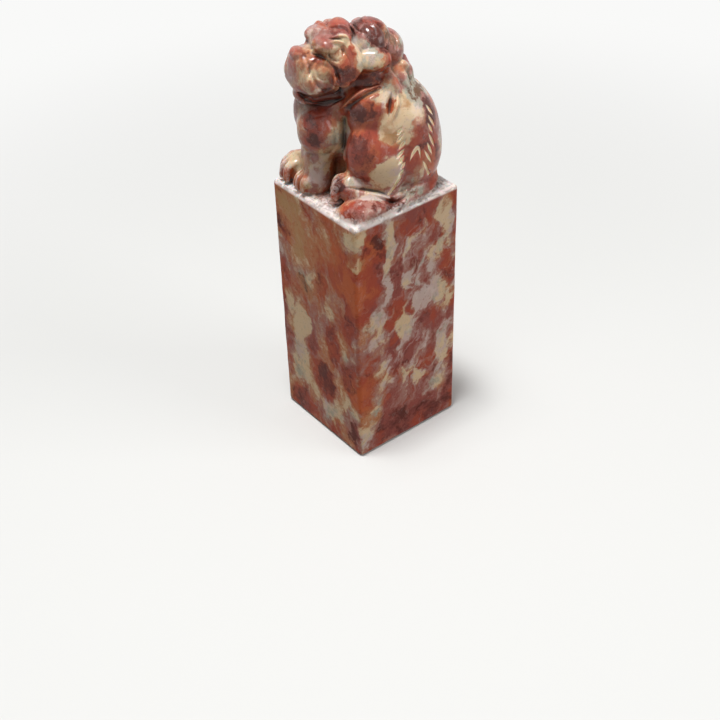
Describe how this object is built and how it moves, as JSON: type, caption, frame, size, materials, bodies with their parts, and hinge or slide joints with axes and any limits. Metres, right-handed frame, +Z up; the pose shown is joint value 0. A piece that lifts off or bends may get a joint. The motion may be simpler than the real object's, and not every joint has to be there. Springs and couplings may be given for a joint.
{
  "type": "seal stamp",
  "caption": "Square carved stone seal with a seated guardian beast on top, its head turned to its left, and a printing face in relief underneath.",
  "frame": {"origin": "middle of the seal face, on the plane that prints and that the seal stands on", "axes": "+Z up the column towards the beast, +X and +Y square to two of the column's side faces; the beast faces the corner between -X and +Y"},
  "size_m": [0.025, 0.025, 0.0864],
  "materials": {
    "column_stone": "polished soapstone, red-brown and cream clouds, waxed",
    "seal_face_stone": "the same stone, ground flat and cut with a knife, matt",
    "beast_stone": "the same stone, carved and hand polished, waxed"
  },
  "bodies": {
    "root": {"seal_column": "column_stone", "seal_face": "seal_face_stone", "ground_rock_left": "beast_stone", "ground_rock_right": "beast_stone", "torso": "beast_stone", "haunch_left": "beast_stone", "haunch_right": "beast_stone", "hind_foot_left": "beast_stone", "hind_foot_right": "beast_stone", "forepaw_left": "beast_stone", "forepaw_right": "beast_stone", "foreleg_left": "beast_stone", "foreleg_right": "beast_stone", "tail": "beast_stone", "head": "beast_stone", "muzzle": "beast_stone", "lower_jaw": "beast_stone", "ear_left": "beast_stone", "ear_right": "beast_stone", "crest_front": "beast_stone", "crest_top": "beast_stone", "crest_back": "beast_stone", "mane": "beast_stone"}
  },
  "joints": []
}
